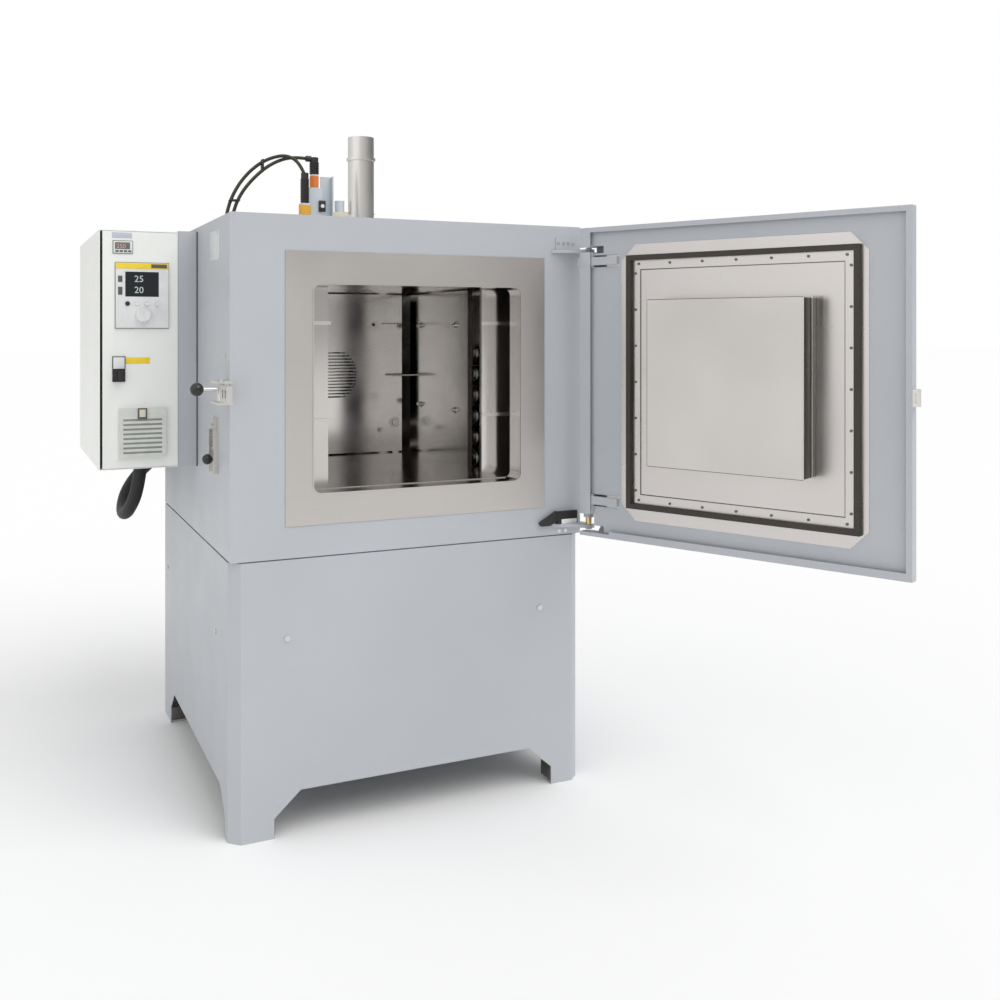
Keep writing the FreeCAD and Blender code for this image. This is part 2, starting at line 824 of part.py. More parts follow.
def door_insulation():
    thickness = door_edge_depth + door_bevel
    back = -panel_recess - sheet
    near = slot_reach + 8
    far = door_width - door_bevel - sheet * 2
    pad = door_block(near, far, -thickness + sheet, back, door_bottom + door_bevel + sheet, door_top - door_bevel - sheet)
    wall = plug_sheet
    low = -panel_recess + seal_plate
    core = door_block(plug_hinge_side + wall, plug_free_side - wall, low, low + plug_height - wall, plug_bottom + wall, plug_top - wall)
    return to_rest(group([pad, core]))


def door_seal_plate():
    low = (door_edge_x - seal_free_side, seal_bottom)
    high = (door_edge_x - seal_hinge_side, seal_top)
    corner = seal_corner
    outline = [
        (low[0] + corner, low[1]),
        (high[0] - corner, low[1]),
        (high[0], low[1] + corner),
        (high[0], high[1] - corner),
        (high[0] - corner, high[1]),
        (low[0] + corner, high[1]),
        (low[0], high[1] - corner),
        (low[0], low[1] + corner),
    ]
    back = door_lip_y - panel_recess
    return to_rest(front_plate(outline, back, back + seal_plate))


def ring_block(inset, width, off0, off1):
    near = gasket_hinge_side + inset
    far = gasket_free_side - inset
    low = gasket_bottom + inset
    high = gasket_top - inset
    outer = door_block(near, far, off0, off1, low, high)
    return outer.cut(door_block(near + width, far - width, off0 - 1, off1 + 1, low + width, high - width))


def door_gasket():
    low = -panel_recess + seal_plate
    return to_rest(ring_block(0, gasket_width, low, -door_lip_y - face_frame_thickness - gap))


def gasket_clamp_strip():
    low = -panel_recess + seal_plate
    return to_rest(ring_block(gasket_width, clamp_width, low, low + clamp_thickness))


def clamp_screws():
    off = -panel_recess + seal_plate + clamp_thickness
    near = gasket_hinge_side + gasket_width + clamp_screw_inset
    far = gasket_free_side - gasket_width - clamp_screw_inset
    low = gasket_bottom + gasket_width + clamp_screw_inset
    high = gasket_top - gasket_width - clamp_screw_inset
    shapes = []
    for step in range(clamp_screw_count):
        along = near + 9 + (far - near - 18) * step / (clamp_screw_count - 1)
        for z in (low, high):
            shapes.append(door_rod(clamp_screw_radius, 1.8, along, off, z))
        z = low + 23 + (high - low - 46) * step / (clamp_screw_count - 1)
        for along in (near, far):
            shapes.append(door_rod(clamp_screw_radius, 1.8, along, off, z))
    return to_rest(group(shapes))


def door_plug_box():
    low = -panel_recess + seal_plate
    high = low + plug_height
    outer = door_block(plug_hinge_side, plug_free_side, low, high, plug_bottom, plug_top)
    edge = plug_flange
    middle = low + plug_flange_height
    flange = door_block(plug_hinge_side - edge, plug_free_side + edge, middle, middle + 2, plug_bottom - edge, plug_top + edge)
    wall = plug_sheet
    inner = door_block(plug_hinge_side + wall, plug_free_side - wall, low - 1, high - wall, plug_bottom + wall, plug_top - wall)
    return to_rest(merge([outer, flange]).cut(inner))


def door_hinge_arms():
    shapes = []
    reach = hinge_reach()
    front = -panel_recess + arm_thickness
    arms = (
        (arm_upper_z, upper_knuckle_top - 26, upper_knuckle_top),
        (arm_lower_z, lower_knuckle_bottom, arm_lower_z + arm_height + 2),
    )
    for z, knuckle_low, knuckle_top in arms:
        bar = door_block(-20, arm_reach, -panel_recess, front, z, z + arm_height)
        leg = door_block(-20, -4, -reach, front, z, z + arm_height)
        knuckle = rod(knuckle_radius, knuckle_top - knuckle_low, (hinge_x, hinge_y, knuckle_low), (0, 0, 1))
        bore = rod(pin_radius + fit, knuckle_top - knuckle_low, (hinge_x, hinge_y, knuckle_low), (0, 0, 1))
        shapes.append(merge([bar, leg, knuckle]).cut(bore))
    return to_rest(group(shapes))


def door_keeper():
    start = door_width
    body = door_block(start, start + keeper_reach, -13, -1, latch_z - latch_height / 2, latch_z + latch_height / 2)
    slot = door_block(start + 5, start + 9, -14, 0, latch_z - 10, latch_z + 10)
    return to_rest(body.cut(slot))


def hinge_plate_outline():
    tip = 15.0
    points = [(366, 0), (366, -3), (415, -30), (hinge_x - tip, hinge_y - 6)]
    for step in range(1, 8):
        angle = math.radians(200 + 20 * step)
        points.append((hinge_x + tip * math.cos(angle), hinge_y + tip * math.sin(angle)))
    points += [(hinge_x + tip, hinge_y + 15), (hinge_x + 2, 0)]
    return points


def hinge_brackets():
    shapes = []
    for z in (upper_plate_z, lower_plate_z):
        plate = plan_plate(hinge_plate_outline(), z, z + hinge_plate)
        top = z + hinge_plate + hinge_flange_height
        flange = block(378, half_width - 2, -3, 0, z + hinge_plate, top)
        hole = rod(pin_radius, hinge_plate, (hinge_x, hinge_y, z), (0, 0, 1))
        shapes.append(merge([plate, flange]).cut(hole))
    return group(shapes + hinge_pins())


def hinge_bolts():
    shapes = []
    for z in (upper_plate_z, lower_plate_z):
        for step in range(4):
            shapes.append(rod(4.5, 0.7, (386 + 14 * step, -3.7, z + hinge_plate + 17), (0, 1, 0)))
    for x in (388, 406):
        shapes.append(rod(5, 1.5, (x, -1.5, lower_plate_z - 12), (0, 1, 0)))
    return shapes


def hinge_pins():
    upper = rod(pin_radius, hinge_plate + 35, (hinge_x, hinge_y, upper_plate_z - 35), (0, 0, 1))
    upper_head = rod(pin_radius + 3, 4, (hinge_x, hinge_y, upper_plate_z + hinge_plate), (0, 0, 1))
    lower = rod(pin_radius, hinge_plate + 75, (hinge_x, hinge_y, lower_plate_z), (0, 0, 1))
    lower_head = rod(pin_radius + 3, 4, (hinge_x, hinge_y, lower_plate_z - 4), (0, 0, 1))
    return [merge([upper, upper_head]), merge([lower, lower_head])]


def hinge_washers():
    upper_low = upper_knuckle_top + gap
    upper = tube(washer_radius, pin_radius, upper_plate_z - upper_low, (hinge_x, hinge_y, upper_low), (0, 0, 1))
    lower_low = lower_plate_z + hinge_plate
    lower = tube(washer_radius, pin_radius, lower_knuckle_bottom - gap - lower_low, (hinge_x, hinge_y, lower_low), (0, 0, 1))
    return group([upper, lower])


def door_switch():
    z = lower_plate_z + hinge_plate
    body = block(376, 434, -14.5, -3.8, z, z + 32)
    plug = block(0, 56, -13.5, -4.8, -11, 11)
    plug.rotate(Vector(0, 0, 0), Vector(0, 1, 0), 150)
    plug.translate(Vector(380, 0, z + 24))
    low = block(300, 376, -20, 0, z - 40, z - 3)
    return merge([body, plug.cut(low)])


def latch_bracket():
    low = latch_z - latch_height / 2 - latch_ear_gap
    high = latch_z + latch_height / 2 + latch_ear_gap - 1
    wall = -half_width
    ears = []
    for z in (low - latch_ear, high):
        ear = block(latch_x - 12, wall, latch_y - 10, 45, z, z + latch_ear)
        ears.append(ear)
    base = block(wall - 3, wall, 5, 45, low - latch_ear, high + latch_ear)
    pin = rod(latch_pin_radius, high - low + 2 * latch_ear + 3, (latch_x, latch_y, low - latch_ear), (0, 0, 1))
    return merge(ears + [base, pin])


def latch_arm():
    low = latch_z - latch_height / 2
    half = latch_arm_width / 2
    arm = block(latch_x - half, latch_x + half, latch_y - latch_arm_reach, latch_y, low, low + latch_height)
    boss = rod(latch_pin_radius + 6, latch_height, (latch_x, latch_y, low), (0, 0, 1))
    bore = rod(latch_pin_radius + fit, latch_height, (latch_x, latch_y, low), (0, 0, 1))
    slots = []
    for y in (latch_y - 40, latch_y - 68):
        slots.append(block(latch_x - half - 1, latch_x + half + 1, y - 5, y + 5, low + 9, low + latch_height - 9))
    return cut_all(merge([arm, boss, latch_rod(latch_rod_radius)]), [bore] + slots)


def latch_knob():
    centre = (latch_x - latch_rod_reach, latch_y, latch_rod_z)
    return ball(latch_ball_radius, centre).cut(latch_rod(latch_rod_radius + fit, fit))


def latch_rod(radius, beyond=0):
    start = latch_x - latch_arm_width / 2
    return rod(radius, latch_rod_reach - latch_ball_radius + 3 + beyond, (start, latch_y, latch_rod_z), (-1, 0, 0))


def air_inlet_guide():
    wall = -half_width
    low = inlet_y - inlet_width / 2
    high = inlet_y + inlet_width / 2
    plate = block(wall - sheet, wall, low, high, inlet_bottom, inlet_top)
    front = block(wall - inlet_depth, wall, low, low + sheet, inlet_bottom, inlet_top - 30)
    rear = block(wall - inlet_depth, wall, high - sheet, high, inlet_bottom, inlet_top - 30)
    hole = rod(inlet_hole_radius, 10, (wall - 5, inlet_y + inlet_hole_shift, inlet_pivot_z - inlet_hole_drop), (1, 0, 0))
    pin = rod(3, inlet_depth, (wall - inlet_depth, inlet_y, inlet_pivot_z), (1, 0, 0))
    return merge([plate, front, rear, pin]).cut(hole)


def lever_to_rest(shape):
    shape.rotate(Vector(-half_width, inlet_y, inlet_pivot_z), Vector(1, 0, 0), inlet_tilt)
    return shape


def air_inlet_lever():
    base = -half_width - sheet - gap
    half = inlet_lever_width / 2
    bar = block(base - 5, base - sheet, inlet_y - half, inlet_y + half, inlet_pivot_z - 95, inlet_pivot_z + 9)
    shutter = block(base - sheet, base, inlet_y - 12, inlet_y + 12, inlet_pivot_z - inlet_hole_drop - 12, inlet_pivot_z + 9)
    spindle = rod(inlet_rod_radius, 9, (base - 5, inlet_y, inlet_pivot_z - inlet_ball_drop), (-1, 0, 0))
    bore = rod(3 + fit, 20, (base - 15, inlet_y, inlet_pivot_z), (1, 0, 0))
    return lever_to_rest(merge([bar, shutter, spindle]).cut(bore))


def air_inlet_knob():
    base = -half_width - sheet - gap
    centre = (base - 9 - inlet_ball_radius, inlet_y, inlet_pivot_z - inlet_ball_drop)
    socket = rod(inlet_rod_radius + fit, 9 + fit, (base - 5, inlet_y, inlet_pivot_z - inlet_ball_drop), (-1, 0, 0))
    return lever_to_rest(ball(inlet_ball_radius, centre).cut(socket))


def cabinet_bracket_box():
    left = -half_width - bracket_width
    outer = block(left, -half_width, bracket_front, bracket_rear, bracket_bottom, bracket_top)
    inner = block(left + sheet, -half_width - sheet, bracket_front + sheet, bracket_rear + 1, bracket_bottom + sheet, bracket_top - sheet)
    return outer.cut(inner)


def cabinet_right():
    return -half_width - bracket_width


def cabinet_left():
    return cabinet_right() - cabinet_width


def cabinet_shell():
    front = cabinet_front + cabinet_door_thickness + cabinet_edge_gap
    rear = cabinet_front + cabinet_depth
    left = cabinet_left()
    right = cabinet_right()
    outer = block(left, right, front, rear, cabinet_bottom, cabinet_top)
    inner = block(left + sheet, right - sheet, front - 1, rear - sheet, cabinet_bottom + sheet, cabinet_top - sheet)
    rim = block(left, left + sheet, cabinet_front + 2, front, cabinet_bottom, cabinet_top)
    hood = block(left, right, cabinet_front + 2, front, cabinet_top - sheet, cabinet_top)
    sill = block(left, right, cabinet_front + 2, front, cabinet_bottom, cabinet_bottom + sheet)
    shell = merge([outer, rim, hood, sill]).cut(inner)
    hinge = cabinet_hinge()
    high = rod(cabinet_pin_radius, 10, (hinge[0], hinge[1], cabinet_top - sheet - 10), (0, 0, 1))
    low = rod(cabinet_pin_radius, 10, (hinge[0], hinge[1], cabinet_bottom + sheet), (0, 0, 1))
    gland = rod(hose_gland_radius, hose_gland, (hose_route[0][0], hose_route[0][1], cabinet_bottom - hose_gland), (0, 0, 1))
    return merge([shell, high, low, gland])


def cabinet_hinge():
    return (cabinet_left() + sheet + cabinet_door_gap + cabinet_hinge_inset, cabinet_front + 7)


def cabinet_door():
    left = cabinet_left() + sheet + cabinet_door_gap
    right = cabinet_right() - cabinet_edge_gap
    low = cabinet_bottom + sheet + cabinet_edge_gap
    high = cabinet_top - sheet - cabinet_edge_gap
    back = cabinet_front + cabinet_door_thickness
    outer = block(left, right, cabinet_front, back, low, high)
    inner = block(left + 10, right - sheet, cabinet_front + sheet, back + 1, low + 12, high - 12)
    panel = outer.cut(inner)
    hinge = cabinet_hinge()
    high_bore = rod(cabinet_pin_radius + fit, 11, (hinge[0], hinge[1], high - 10), (0, 0, 1))
    low_bore = rod(cabinet_pin_radius + fit, 11, (hinge[0], hinge[1], low - 1), (0, 0, 1))
    window = block(controller_left + 8, controller_right - 8, 0, 2 * back, controller_bottom + 8, controller_top - 8)
    limit = block(limiter_left + 3, limiter_right - 3, 0, 2 * back, limiter_bottom + 3, limiter_top - 3)
    x = (switch_left + switch_right) / 2
    hole = rod(4, 40, (x, cabinet_front - 10, switch_bottom + 17), (0, 1, 0))
    air = block(grille_left + 9, grille_right - 9, 0, 2 * back, grille_bottom + 9, grille_top - 9)
    return cut_all(panel, [high_bore, low_bore, window, limit, hole, air])


def filter_grille():
    front = cabinet_front - grille_proud
    outer = block(grille_left, grille_right, front, cabinet_front, grille_bottom, grille_top)
    back = block(grille_left + 4, grille_right - 4, front + 3, cabinet_front + 1, grille_bottom + 4, grille_top - 4)
    slots = []
    step = (grille_top - grille_bottom - 30) / grille_louvres
    for row in range(grille_louvres):
        z = grille_bottom + 10 + row * step
        slots.append(block(grille_left + 10, grille_right - 10, front - 1, front + 4, z, z + step * 0.45))
    catch = block(-598, -579, front - 3, front, grille_top - 24, grille_top)
    frame = outer.cut(back)
    return merge([cut_all(frame, slots), catch])


def button_places():
    return [-623.1, -599.8, -576.5, -551.0]


def controller():
    front = cabinet_front - controller_proud
    bezel = block(controller_left, controller_right, front, cabinet_front, controller_bottom, controller_top)
    body = block(controller_left + 8.5, controller_right - 8.5, cabinet_front, cabinet_front + controller_body_depth, controller_bottom + 8.5, controller_top - 8.5)
    holes = []
    for x in button_places():
        holes.append(rod(button_radius + button_gap, 5, (x, front, button_z), (0, 1, 0)))
    holes.append(rod(3 + fit, 12, (dial_x, front, dial_z), (0, 1, 0)))
    holes.append(block(screen_left, screen_right, front - 1, front + 2, screen_bottom, screen_top))
    return cut_all(merge([bezel, body]), holes)


def controller_screen():
    front = cabinet_front - controller_proud
    return block(screen_left, screen_right, front + 0.5, front + 2, screen_bottom, screen_top)


def controller_knob():
    front = cabinet_front - controller_proud
    disc = rod(dial_radius, dial_height, (dial_x, front - gap - dial_height, dial_z), (0, 1, 0))
    stem = rod(3, 10 + gap, (dial_x, front - gap, dial_z), (0, 1, 0))
    pointer = block(dial_x - 1, dial_x + 1, front - gap - dial_height - 0.6, front - gap - dial_height, dial_z + 5, dial_z + dial_radius - 2)
    return merge([disc, stem, pointer])


def controller_button(x):
    front = cabinet_front - controller_proud
    return rod(button_radius, button_proud + 3, (x, front - button_proud, button_z), (0, 1, 0))


def limiter():
    front = cabinet_front - limiter_proud
    bezel = block(limiter_left, limiter_right, front, cabinet_front, limiter_bottom, limiter_top)
    body = block(limiter_left + 3.5, limiter_right - 3.5, cabinet_front, cabinet_front + 45, limiter_bottom + 3.5, limiter_top - 3.5)
    return merge([bezel, body])


def main_switch_plate():
    front = cabinet_front - switch_proud
    x = (switch_left + switch_right) / 2
    plate = block(switch_left, switch_right, front, cabinet_front, switch_bottom, switch_top)
    bore = rod(4 + fit, 10, (x, front, switch_bottom + 17), (0, 1, 0))
    return plate.cut(bore)


def main_switch_knob():
    front = cabinet_front - switch_proud - gap
    x = (switch_left + switch_right) / 2
    z = switch_bottom + 17
    disc = rod(switch_knob_radius, switch_knob_height - 12, (x, front - switch_knob_height + 12, z), (0, 1, 0))
    grip = block(x - 4, x + 4, front - switch_knob_height, front, z - switch_knob_radius + 2, z + switch_knob_radius - 2)
    stem = rod(4 - fit, 12, (x, front, z), (0, 1, 0))
    return merge([disc, grip, stem])


def cabinet_switchgear():
    rear = cabinet_front + cabinet_depth - sheet
    left = cabinet_left() + sheet + 8
    right = cabinet_right() - sheet - 8
    plate = block(left, right, rear - 3, rear, cabinet_bottom + 40, cabinet_top - 40)
    shapes = [plate]
    for z, width in ((cabinet_top - 160, 50), (cabinet_top - 330, 80), (cabinet_bottom + 80, 60)):
        for step in range(3):
            x = left + 8 + step * 54
            shapes.append(block(x, x + 44, rear - 3 - width, rear - 3, z, z + 85))
    return merge(shapes)


rest_solids = {
    "base_front_panel": base_front_panel(),
    "base_left_panel": base_side_panel(-1),
    "base_right_panel": base_side_panel(1),
    "base_rear_panel": base_rear_panel(),
    "base_frame": base_frame(),
    "fastening_screws": fastening_screws(),
    "casing_shell": casing_shell(),
    "casing_front_frame": casing_front_frame(),
    "casing_rear_cover": casing_rear_cover(),
    "face_frame": face_frame(),
    "chamber_liner": chamber_liner(),
    "chamber_insulation": chamber_insulation(),
    "side_air_baffles": side_air_baffles(),
    "rear_air_baffle": rear_air_baffle(),
    "baffle_stays": baffle_stays_and_pins(),
    "heating_elements": heating_elements(),
    "thermocouple": thermocouple(),
    "fan_wheel": fan_wheel(),
    "fan_motor": fan_motor(),
    "exhaust_pipe": exhaust_pipe(),
    "exhaust_flap": exhaust_flap(),
    "valve_unit": valve_unit(),
    "roof_plugs": roof_plugs(),
    "latch_bracket": latch_bracket(),
    "latch_arm": latch_arm(),
    "latch_knob": latch_knob(),
    "air_inlet_guide": air_inlet_guide(),
    "air_inlet_lever": air_inlet_lever(),
    "air_inlet_knob": air_inlet_knob(),
    "hinge_brackets": hinge_brackets(),
    "hinge_washers": hinge_washers(),
    "door_switch": door_switch(),
    "door_skin": door_skin(),
    "door_inner_panel": door_inner_panel(),
    "door_insulation": door_insulation(),
    "door_seal_plate": door_seal_plate(),
    "door_gasket": door_gasket(),
    "gasket_clamp_strip": gasket_clamp_strip(),
    "clamp_screws": clamp_screws(),
    "door_plug_box": door_plug_box(),
    "door_hinge_arms": door_hinge_arms(),
    "door_keeper": door_keeper(),
    "cabinet_bracket_box": cabinet_bracket_box(),
    "cabinet_shell": cabinet_shell(),
    "cabinet_door": cabinet_door(),
    "filter_grille": filter_grille(),
    "controller": controller(),
    "controller_screen": controller_screen(),
    "controller_knob": controller_knob(),
    "limiter": limiter(),
    "main_switch_plate": main_switch_plate(),
    "main_switch_knob": main_switch_knob(),
    "cabinet_switchgear": cabinet_switchgear(),
}
for number, x in enumerate(button_places(), start=1):
    rest_solids["controller_button_" + str(number)] = controller_button(x)

# The origin is the middle of the box round everything but the cords, on the floor.
box = Part.makeCompound(list(rest_solids.values())).BoundBox
to_origin = Vector(-box.Center.x, -box.Center.y, -box.ZMin)
print("origin shift", round(to_origin.x, 3), round(to_origin.y, 3), round(to_origin.z, 3))
rest_solids["roof_cable_left"] = cord_tube("roof_cable_left", roof_cable_radius, roof_left_route)
rest_solids["roof_cable_right"] = cord_tube("roof_cable_right", roof_cable_radius, roof_right_route)
rest_solids["cabinet_hose"] = cord_tube("cabinet_hose", hose_radius, hose_route)

os.makedirs("parts", exist_ok=True)
for name, shape in rest_solids.items():
    shape.translate(to_origin)
    shape.exportStep("parts/" + name + ".step")
print(len(rest_solids), "nodes")
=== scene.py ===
import bpy
import json
import math
from mathutils import Matrix, Vector


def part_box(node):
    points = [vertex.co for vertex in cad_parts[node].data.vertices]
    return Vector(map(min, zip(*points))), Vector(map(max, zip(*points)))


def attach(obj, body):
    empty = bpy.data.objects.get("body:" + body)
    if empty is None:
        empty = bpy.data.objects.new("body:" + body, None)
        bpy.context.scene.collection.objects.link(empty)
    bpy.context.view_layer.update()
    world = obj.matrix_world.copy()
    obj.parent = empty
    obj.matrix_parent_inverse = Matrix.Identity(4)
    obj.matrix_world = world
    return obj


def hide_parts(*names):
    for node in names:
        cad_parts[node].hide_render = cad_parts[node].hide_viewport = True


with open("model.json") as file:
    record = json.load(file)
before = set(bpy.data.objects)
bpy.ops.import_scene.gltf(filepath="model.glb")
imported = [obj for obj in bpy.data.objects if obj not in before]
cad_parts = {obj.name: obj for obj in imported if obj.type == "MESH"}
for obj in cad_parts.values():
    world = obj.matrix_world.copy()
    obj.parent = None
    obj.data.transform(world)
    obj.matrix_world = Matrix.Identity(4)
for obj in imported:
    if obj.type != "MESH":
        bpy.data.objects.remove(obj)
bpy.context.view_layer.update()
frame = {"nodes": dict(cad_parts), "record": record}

bpy.ops.object.select_all(action="DESELECT")
print("furnace loaded", len(frame["nodes"]), "nodes")

# Places are furnace millimetres: x from the casing's middle, y back from its front, z up from the floor.
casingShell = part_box("casing_shell")
frontSheet = 0.002
middleX = (casingShell[0].x + casingShell[1].x) / 2
frontY = casingShell[0].y - frontSheet


def at(x, y, z):
    return Vector((middleX + x / 1000, frontY + y / 1000, z / 1000))


view = {
    "place": (-944.2, -2481.4, 1162.7),
    "turn": (90, 0, -25.146),
    "lens": 39.367,
    "sensor": 36,
    "lift": -0.1697,
    "clipEnd": 200,
}


def turned(degrees):
    return tuple(math.radians(angle) for angle in degrees)


def placeCamera():
    bpy.ops.object.camera_add(location=at(*view["place"]), rotation=turned(view["turn"]))
    camera = bpy.context.object
    camera.data.lens = view["lens"]
    camera.data.sensor_width = view["sensor"]
    camera.data.shift_y = view["lift"]
    camera.data.clip_end = view["clipEnd"]
    bpy.context.scene.camera = camera
    bpy.ops.object.select_all(action="DESELECT")


placeCamera()
print("camera placed")


# Finishes: the four makers further down each return a node material.
def newFinish(name, colour, roughness, metal=0.0):
    finish = bpy.data.materials.new(name)
    finish.use_nodes = True
    shader = finish.node_tree.nodes["Principled BSDF"]
    shader.inputs["Base Color"].default_value = (*colour, 1)
    shader.inputs["Roughness"].default_value = roughness
    shader.inputs["Metallic"].default_value = metal
    return finish


def surfaceNoise(finish, scale, detail=2.0, stretch=(1, 1, 1), turn=0.0):
    nodes = finish.node_tree.nodes
    links = finish.node_tree.links
    place = nodes.new("ShaderNodeTexCoord")
    mapping = nodes.new("ShaderNodeMapping")
    mapping.inputs["Scale"].default_value = stretch
    mapping.inputs["Rotation"].default_value = turned((0, 0, turn))
    noise = nodes.new("ShaderNodeTexNoise")
    noise.inputs["Scale"].default_value = scale
    noise.inputs["Detail"].default_value = detail
    links.new(place.outputs["Object"], mapping.inputs["Vector"])
    links.new(mapping.outputs["Vector"], noise.inputs["Vector"])
    return noise.outputs["Fac"]


def shade(colour, amount):
    return tuple(min(1, channel * amount) for channel in colour)


def tintBetween(finish, factor, colour, shades, low=0.3, high=0.7):
    nodes = finish.node_tree.nodes
    links = finish.node_tree.links
    ramp = nodes.new("ShaderNodeValToRGB")
    for stop, position, amount in zip(ramp.color_ramp.elements, (low, high), shades):
        stop.position = position
        stop.color = (*shade(colour, amount), 1)
    links.new(factor, ramp.inputs["Fac"])
    links.new(ramp.outputs["Color"], nodes["Principled BSDF"].inputs["Base Color"])


noiseSpan = (0.25, 0.75)


def roughBetween(finish, factor, low, high):
    nodes = finish.node_tree.nodes
    links = finish.node_tree.links
    spread = nodes.new("ShaderNodeMapRange")
    spread.inputs["From Min"].default_value = noiseSpan[0]
    spread.inputs["From Max"].default_value = noiseSpan[1]
    spread.inputs["To Min"].default_value = low
    spread.inputs["To Max"].default_value = high
    links.new(factor, spread.inputs["Value"])
    links.new(spread.outputs["Result"], nodes["Principled BSDF"].inputs["Roughness"])


def bumpFrom(finish, factor, depth, strength):
    nodes = finish.node_tree.nodes
    links = finish.node_tree.links
    bump = nodes.new("ShaderNodeBump")
    bump.inputs["Strength"].default_value = strength
    bump.inputs["Distance"].default_value = depth
    links.new(factor, bump.inputs["Height"])
    links.new(bump.outputs["Normal"], nodes["Principled BSDF"].inputs["Normal"])


# Noise is (scale, detail), rough is (down, up) from the given roughness, depths are metres.
paintLook = {
    "tintNoise": (3.2, 3),
    "shades": (0.972, 1.02),
    "roughNoise": (9, 2),
    "rough": (0.04, 0.06),
    "peelNoise": (520, 1),
    "peelDepth": 0.00012,
    "peelStrength": 0.35,
}
brushedLook = {
    "grainDetail": 4,
    "tintRange": (0.2, 0.8),
    "roughNoise": (3.4, 2),
    "rough": (0.07, 0.09),
    "grainStrength": 0.3,
}
millLook = {
    "tintNoise": (3.2, 2),
    "shades": (0.94, 1.05),
    "roughNoise": (5, 2),
    "rough": (0.04, 0.07),
    "waveNoise": (3.5, 1),
    "waveStrength": 0.25,
}
plasticLook = {
    "tintNoise": (40, 2),
    "shades": (0.95, 1.05),
    "grainNoise": (1600, 1),
    "grainDepth": 0.00005,
    "grainStrength": 0.3,
}


def powderPaint(name, colour, roughness=0.42):
    look = paintLook
    finish = newFinish(name, colour, roughness)
    tintBetween(finish, surfaceNoise(finish, *look["tintNoise"]), colour, look["shades"])
    smoother, rougher = look["rough"]
    roughBetween(finish, surfaceNoise(finish, *look["roughNoise"]), roughness - smoother, roughness + rougher)
    bumpFrom(finish, surfaceNoise(finish, *look["peelNoise"]), look["peelDepth"], look["peelStrength"])
    return finish


def brushedSteel(name, colour, roughness, grain, turn, scale, depth, contrast=0.045):
    look = brushedLook
    finish = newFinish(name, colour, roughness, 1.0)
    fine = surfaceNoise(finish, scale, look["grainDetail"], grain, turn)
    tintBetween(finish, fine, colour, (1 - contrast, 1 + contrast), *look["tintRange"])
    smoother, rougher = look["rough"]
    patches = surfaceNoise(finish, *look["roughNoise"], turn=turn)
    roughBetween(finish, patches, roughness - smoother, roughness + rougher)
    bumpFrom(finish, fine, depth, look["grainStrength"])
    return finish


def millSteel(name, colour, roughness, wave=0.0001):
    look = millLook
    finish = newFinish(name, colour, roughness, 1.0)
    tintBetween(finish, surfaceNoise(finish, *look["tintNoise"]), colour, look["shades"])
    smoother, rougher = look["rough"]
    roughBetween(finish, surfaceNoise(finish, *look["roughNoise"]), roughness - smoother, roughness + rougher)
    bumpFrom(finish, surfaceNoise(finish, *look["waveNoise"]), wave, look["waveStrength"])
    return finish


def mouldedPlastic(name, colour, roughness):
    look = plasticLook
    finish = newFinish(name, colour, roughness)
    tintBetween(finish, surfaceNoise(finish, *look["tintNoise"]), colour, look["shades"])
    bumpFrom(finish, surfaceNoise(finish, *look["grainNoise"]), look["grainDepth"], look["grainStrength"])
    return finish


